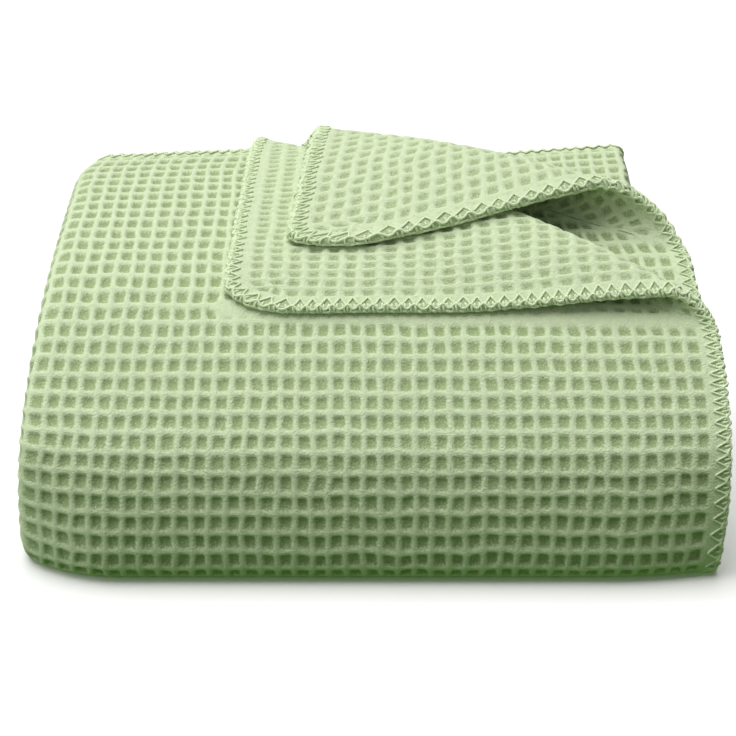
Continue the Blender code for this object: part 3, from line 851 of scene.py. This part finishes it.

# The cloth's finish: pale green, brushed to a short nap. The cells are darker and more ragged than the ribs,
# and so is the cloth between the edge's zigzag and the rim. The cells' dark is partly the cloth's deeper
# green and partly painted shade; the dark between the yarn is painted shade.
GREEN_RIB = (0.60, 0.70, 0.46, 1)
# The cells' colour: the cloth's deeper green in its pits, darkened further by painted shade.
PIT_GREEN_AND_SHADE = (0.31, 0.40, 0.195, 1)
FUZZ_SCALE, MOTTLE_SCALE, RAGGED_SCALE = 900.0, 260.0, 620.0
FUZZ_DETAIL, MOTTLE_DETAIL, RAGGED_DETAIL = 3.0, 2.0, 2.0
SPECKLE, SPECKLE_LOSS = 3.0, 0.50  # how much the fuzz breaks up the dark, and how much of it that takes
BRIGHTNESS, MOTTLE_LIGHTENS, FUZZ_LIGHTENS = 0.80, 0.22, 0.18
RAGGED, NAP = 0.60, 0.0008
PIT_ENDS = 0.42, 0.82  # where a cell's dark starts to fade and ends, as shares of its half width
PIT_SHRINKS = 0.20  # how much smaller the dark of a shallow cell is
ZIGZAG_IN, ZIGZAG_OUT = 0.0080, 0.0010  # how far in from the edge the zigzag runs on each face
INNER_POINT = 0.25  # where in a stitch the zigzag is farthest in
# Painted shade on the cloth between the zigzag's yarn and the rim, as dark as a cell.
HEM_SHADE = 0.68  # how dark the cloth is between the zigzag's yarn, against a cell
HEM_SHADE_RAGGED, HEM_SHADE_FADES, HEM_SHADE_STARTS = 0.002, 0.0010, (0.0008, 0.0018)  # the dark's two edges


def waffle_cloth():
    """The cloth's material, from how open the weave is and how near the edge's stitches are, with painted
    shade in its cells and between the edge's yarn.
    """
    material, shade = new_material("waffle_cloth")
    weave = shade.node("ShaderNodeAttribute", {"attribute_name": "weave"}, out=1)
    smooth = shade.node("ShaderNodeAttribute", {"attribute_name": "smooth"}, out=2)
    hem = shade.node("ShaderNodeAttribute", {"attribute_name": "hem"}, out=1)
    place = shade.node("ShaderNodeTexCoord", out=3)

    def noise(scale, detail):
        return shade.node("ShaderNodeTexNoise", {}, {"Vector": place, "Scale": scale, "Detail": detail})

    fuzz, mottle = noise(FUZZ_SCALE, FUZZ_DETAIL), noise(MOTTLE_SCALE, MOTTLE_DETAIL)
    ragged = noise(RAGGED_SCALE, RAGGED_DETAIL) - 0.5
    open_share = weave.part(2)
    # The cells' dark, partly the cloth's deeper green and partly painted shade. It also sinks them in the
    # bump.
    depth = open_share
    for axis in (0, 1):
        off = (weave.part(axis).fraction() * 2 - 1).size() + ragged * RAGGED * (1 if axis else -1)
        off = off + (1 - open_share) * PIT_SHRINKS
        depth = depth * (1 - off.ramped(*PIT_ENDS))
    # Painted shade on the cloth between the zigzag's yarn and the rim.
    sewn, edge = hem.part(0), hem.part(1)
    from_point = ((sewn + (0.5 - INNER_POINT)).fraction() - 0.5).size() * 2
    yarn_in = ZIGZAG_IN - (ZIGZAG_IN - ZIGZAG_OUT) * from_point
    hem_shade = (yarn_in - edge + ragged * HEM_SHADE_RAGGED).ramped(0.0, HEM_SHADE_FADES) * edge.ramped(*HEM_SHADE_STARTS) * HEM_SHADE
    # The cells' dark and the painted shade between the yarn, broken up by the fuzz, mix in the darker colour.
    speckled = depth.at_least(hem_shade) * (SPECKLE * fuzz - SPECKLE_LOSS)
    colour = speckled.mixed(GREEN_RIB, PIT_GREEN_AND_SHADE)
    value = BRIGHTNESS + MOTTLE_LIGHTENS * mottle + FUZZ_LIGHTENS * fuzz
    shaded = shade.node("ShaderNodeHueSaturation", {}, {"Color": colour, "Value": value})
    height = fuzz * NAP - depth * smooth * PIT_DEPTH
    bump = shade.node("ShaderNodeBump", {}, {"Strength": 1.0, "Distance": 1.0, "Height": height})
    finish(material, {"Base Color": shaded, "Normal": bump, "Roughness": 0.95, "Specular IOR Level": 0.1})
    finish(material, {"Sheen Weight": 0.15, "Sheen Roughness": 0.5})
    return material


cloth = waffle_cloth()


def on_blanket(piece, material):
    """A piece's material, and its place on the blanket."""
    piece.data.materials.append(material)
    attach(piece, "root")
    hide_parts("blanket")


def dress(piece, width, length, area=None, yarn=()):
    """The cloth's finish. The size that it was woven to, its area and its yarn are not used."""
    on_blanket(piece, cloth)


# The overlock along the blanket's edge: soft yarn that is whipped round the edge of the cloth, over which two
# strands run to and fro on each face. It is sewn in one go all round.
YARN_RADIUS = 0.00075
WHIPS, WHIP_INSET = 3, 0.0013  # whip stitches a zigzag, and how far in their middle is
WHIP_CLEARS = 0.0001  # how far off the cloth's face the middle of a whip stitch lies
WHIP_REACH = CLOTH / 2 + WHIP_CLEARS
Strand = namedtuple("Strand", "outermost innermost ahead radius pointed")
STRANDS = (
    Strand(outermost=ZIGZAG_OUT, innermost=ZIGZAG_IN, ahead=0.0, radius=0.00068, pointed=0.98),
    Strand(outermost=-0.0012, innermost=0.0012, ahead=0.5, radius=0.00095, pointed=0.70),
)
STRAND_RAISED = 0.7  # how far over the cloth's face a strand's middle lies, by its radius
AT_RIM, RISES_IN, LOWEST = 0.6, 0.003, 0.4  # shares of a strand's height, and the way in for a rise of 1
YARN_WANDER, LESS_IN_HEIGHT = 0.00035, 0.4  # how far the yarn strays, and how much of that up and down
PLACE_SAMPLES = 1000
YARN_SIDE = 0.31, 0.52, 0.79  # any direction in which no yarn starts


def rim_place(s, inset):
    """u and v of places at a distance along the blanket's rounded edge, and at an inset from it."""
    s, inset = np.broadcast_arrays(np.asarray(s, float), np.asarray(inset, float))
    u, v = np.zeros_like(s), np.zeros_like(s)
    start = 0.0
    for quarter in RIM_QUARTERS:
        ends = start + quarter.straight + RIM_CORNER
        here = (s >= start) & (s <= ends)
        past = s[here] - start - quarter.straight
        turn = np.clip(past / CORNER_RADIUS, 0, math.pi / 2)
        reach = (CORNER_RADIUS - inset[here]) / np.maximum(np.cos(turn), np.sin(turn))
        a, b = reach * np.cos(turn), reach * np.sin(turn) + np.minimum(past, 0)
        u[here] = quarter.centre[0] + a * quarter.out[0] + b * quarter.onward[0]
        v[here] = quarter.centre[1] + a * quarter.out[1] + b * quarter.onward[1]
        start = ends
    return u, v


def tube(points, radius, sides):
    """(points, faces) of a round yarn along points, closed at both ends."""
    ahead = np.gradient(points, axis=0)
    ahead /= np.linalg.norm(ahead, axis=1)[:, None]
    across = np.empty_like(points)
    normal = np.cross(ahead[0], YARN_SIDE)
    for i, direction in enumerate(ahead):
        normal = normal - direction * normal.dot(direction)
        normal /= math.sqrt(normal.dot(normal))
        across[i] = normal
    upward = np.cross(ahead, across)
    angles = (np.arange(sides) * 2 * math.pi / sides)[None, :, None]
    ring = radius * (np.cos(angles) * across[:, None] + np.sin(angles) * upward[:, None])
    count = len(points)
    starts = (np.arange(count - 1) * sides)[:, None]
    first = starts + np.arange(sides)[None, :]
    after = starts + (np.arange(sides)[None, :] + 1) % sides
    quads = np.stack([first, after, after + sides, first + sides], axis=-1).reshape(-1, 4).tolist()
    ends = [list(range(sides))[::-1], [(count - 1) * sides + k for k in range(sides)]]
    return (points[:, None] + ring).reshape(-1, 3), quads + ends


def overlock(name, runs, steps, sides, seed):
    """The yarn on stretches of the rim, given as (start, end) along it, with a number of steps a stitch."""
    random = np.random.default_rng(seed)
    points, faces, count = [], [], 0
    for start, end in runs:

        def stitch(often, path, radius):
            sewn = np.arange(stitches(start), stitches(end), 1 / (often * steps))
            turn = sewn * often
            knots = np.arange(math.floor(turn[0]), math.ceil(turn[-1]) + 2)
            loose = [np.interp(turn, knots, random.normal(0, YARN_WANDER, len(knots))) for _ in range(3)]
            samples = np.linspace(start, end, PLACE_SAMPLES)
            place = np.interp(sewn, stitches(samples), samples)
            inset, height = path(turn)
            u, v = rim_place(place + loose[0], inset * reach(place) + loose[1])
            middle = lay(u, v, height + loose[2] * LESS_IN_HEIGHT)
            middle[:, 2] = np.maximum(middle[:, 2], radius)
            return tube(middle, radius, sides)

        def whip(turn):
            angle = 2 * math.pi * turn
            return WHIP_INSET - WHIP_REACH * np.cos(angle), WHIP_REACH * np.sin(angle)

        made = [stitch(WHIPS, whip, YARN_RADIUS)]
        for strand in STRANDS:
            for face in (-1, 1):

                def zigzag(turn, strand=strand, face=face):
                    point = strand.pointed
                    wave = np.arcsin(point * np.sin(2 * math.pi * (turn + strand.ahead))) / math.asin(point)
                    inset = strand.outermost + (strand.innermost - strand.outermost) * (wave + 1) / 2
                    round_edge = np.clip(AT_RIM + inset / RISES_IN, LOWEST, 1.0)
                    return inset, face * (CLOTH / 2 + strand.radius * STRAND_RAISED) * round_edge

                made.append(stitch(1, zigzag, strand.radius))
        for tube_points, tube_faces in made:
            points.append(tube_points)
            faces += [[k + count for k in f] for f in tube_faces]
            count += len(tube_points)
    mesh = bpy.data.meshes.new(name)
    mesh.from_pydata(np.vstack(points).tolist(), [], faces)
    mesh.shade_smooth()
    piece = placed(name, mesh)
    on_blanket(piece, hem_yarn)
    return piece


YARN_GREEN = (0.78, 0.88, 0.63, 1)
YARN_SHADOW = (0.58, 0.70, 0.43, 1)
HAIR_SCALE, HAIR_DETAIL, HAIR_RAISED = 1400.0, 3.0, 0.0005


def overlock_yarn():
    """Soft spun yarn, a little lighter than the cloth, with fine hairs that scatter the light."""
    material, shade = new_material("hem_yarn")
    place = shade.node("ShaderNodeTexCoord", out=3)
    fine = {"Vector": place, "Scale": HAIR_SCALE, "Detail": HAIR_DETAIL}
    hairs = shade.node("ShaderNodeTexNoise", {}, fine)
    colour = hairs.mixed(YARN_SHADOW, YARN_GREEN)
    bump = shade.node("ShaderNodeBump", {}, {"Strength": 0.6, "Distance": HAIR_RAISED, "Height": hairs})
    finish(material, {"Base Color": colour, "Normal": bump, "Roughness": 0.9, "Specular IOR Level": 0.15})
    finish(material, {"Sheen Weight": 0.2})
    return material


hem_yarn = overlock_yarn()
CLOSE, PLAIN = (12, 6), (6, 4)  # steps a stitch, and sides, where the yarn shows well and where it doesn't
outer_flap_hems = [(outer_side(outer_corner[1]), end_hem(outer_corner[0]))]
outer_flap_yarn = overlock("outer_flap_yarn", outer_flap_hems, *CLOSE, seed=21)
outer_hems = [
    (outer_side(stretch_starts[2]), outer_side(outer_corner[1])),
    (end_hem(outer_corner[0]), end_hem(wrap_width)),
]
outer_yarn = overlock("outer_yarn", outer_hems, *CLOSE, seed=22)

outer_area = outer_corner[0] * outer_corner[1] / 2
dress(outer_layer, wrap_width, wrap_end, wrap_width * wrap_end - outer_area, [outer_yarn])
dress(outer_flap, *outer_corner, outer_area, [outer_flap_yarn])

# The inner layer at the strip's right edge. It is the same sheet's second side hem, whose end corner is
# turned over on top of the outer layer's.
INNER_PAST_FOLD = 0.030  # how far from its fold at the left this piece begins
SHOWS_IN_LOOP = 0.020  # how far in from the outer corner's crease it shows
inner_start = across_starts[6] + INNER_PAST_FOLD
inner_line = seam_line(INNER_TURN, lambda x: SHEET_WIDTH - INNER_TURN.hem_x + x)
inner_weave = Weave(
    np.linspace(inner_start, SHEET_WIDTH, round((SHEET_WIDTH - inner_start) / CELL_WIDE) + 1),
    outer_weave.v_lines,
    seed=13,
    line=inner_line[::-1],
)
inner_cuts = bend_cuts(inner_weave)
u, v = inner_weave.cells()
past, _, _ = past_crease(OUTER_TURN, INNER_TURN.hem_x - (SHEET_WIDTH - u), v)
inner_cuts[1][(past > -SHOWS_IN_LOOP) & (v < OUTER_TURN.hem_b)] = FINE
inner_layer = woven_sheet("inner_layer", inner_weave, inner_cuts)
inner_corner = INNER_TURN.hem_x - INNER_TURN.end_x, INNER_TURN.hem_b
inner_width = SHEET_WIDTH - inner_start
inner_area = inner_corner[0] * inner_corner[1] / 2
inner_crease_u = SHEET_WIDTH - inner_corner[0]
inner_hems = [
    (inner_side(inner_corner[1]), inner_side(stretch_starts[2])),
    (end_hem(inner_start), end_hem(inner_crease_u)),
]
inner_yarn = overlock("inner_yarn", inner_hems, *PLAIN, seed=23)
dress(inner_layer, inner_width, wrap_end, inner_width * wrap_end - inner_area, [inner_yarn])

# The inner layer's turned corner. Both of its faces show: one on top, the other inside its wide loop. Its
# values are of the same kinds as the outer one's.
INNER_CELLS_TRUE_AT = SHEET_WIDTH - 0.05, 0.04
INNER_TRIMMED, INNER_LOOP_FINE = 0.040, 0.040
inner_pitches = flap_pitches(*INNER_CELLS_TRUE_AT, -1)
inner_flap_weave = Weave(
    SHEET_WIDTH - np.arange(0, inner_corner[0] + INNER_TRIMMED, inner_pitches[0]),
    np.arange(0, inner_corner[1] + INNER_TRIMMED, inner_pitches[1]),
    seed=14,
    line=inner_line,
    relief=FLAP_RELIEF_AND_SHADE,
)
inner_flap_cuts = np.full((2, inner_flap_weave.columns, inner_flap_weave.rows, 2), FLAP_COARSE)
u, v = inner_flap_weave.cells()
past, _, loop = past_crease(INNER_TURN, INNER_TURN.hem_x - (SHEET_WIDTH - u), v)
inner_flap_cuts[0] = FINE
inner_flap_cuts[1][past < math.pi * loop + INNER_LOOP_FINE] = FINE
inner_flap = woven_sheet("inner_flap", inner_flap_weave, inner_flap_cuts)
inner_flap_hems = [(end_hem(inner_crease_u), inner_side(inner_corner[1]))]
inner_flap_yarn = overlock("inner_flap_yarn", inner_flap_hems, *CLOSE, seed=24)
dress(inner_flap, *inner_corner, inner_area, [inner_flap_yarn])

# The rest of the folded sheet: the two middle layers of the wrapping length, and all four layers of the
# seven others, with their folds at both sides and at the back.
THIRD_SHOWS, THIRD_SHOWS_TO = 0.012, 0.16  # how far in from the inner corner's crease, and from the end hem
middle_weave = Weave(
    np.linspace(wrap_width, inner_start, round((inner_start - wrap_width) / CELL_WIDE) + 1),
    outer_weave.v_lines,
    seed=15,
)
middle_cuts = bend_cuts(middle_weave)
u, v = middle_weave.cells()
mid_x, _, _ = in_strip(u, v)
past, _, _ = past_crease(INNER_TURN, mid_x, v)
third_layer = (u > across_starts[4]) & (u < across_starts[5])
middle_cuts[0][third_layer & (past > -THIRD_SHOWS) & (v < THIRD_SHOWS_TO)] = FINE
middle_layers = woven_sheet("middle_layers", middle_weave, middle_cuts)
middle_yarn = overlock("middle_yarn", [(end_hem(wrap_width), end_hem(inner_start))], *PLAIN, seed=25)
dress(middle_layers, inner_start - wrap_width, wrap_end, yarn=[middle_yarn])

sheet_lines = np.linspace(0, SHEET_WIDTH, round(SHEET_WIDTH / CELL_WIDE) + 1)
rim_total = 2 * (SHEET_WIDTH + SHEET_LENGTH) + 4 * (RIM_CORNER - 2 * CORNER_RADIUS)
half_way = stretch_starts[8]
for name, start, end, seed, yarn_seed in (
    ("lower_folds", wrap_end, half_way, 16, 26),
    ("upper_folds", half_way, SHEET_LENGTH, 17, 27),
):
    weave = Weave(sheet_lines, np.linspace(start, end, round((end - start) / CELL_LONG) + 1), seed)
    folds = woven_sheet(name, weave, bend_cuts(weave))
    last = end == SHEET_LENGTH
    first_hem = start if last else stretch_starts[2]
    runs = [
        (outer_side(min(end, FAR_V)), outer_side(first_hem)),
        (inner_side(first_hem), rim_total if last else inner_side(end)),
    ]
    yarn = overlock(name + "_yarn", runs, *PLAIN, seed=yarn_seed)
    dress(folds, SHEET_WIDTH, end - start, yarn=[yarn])
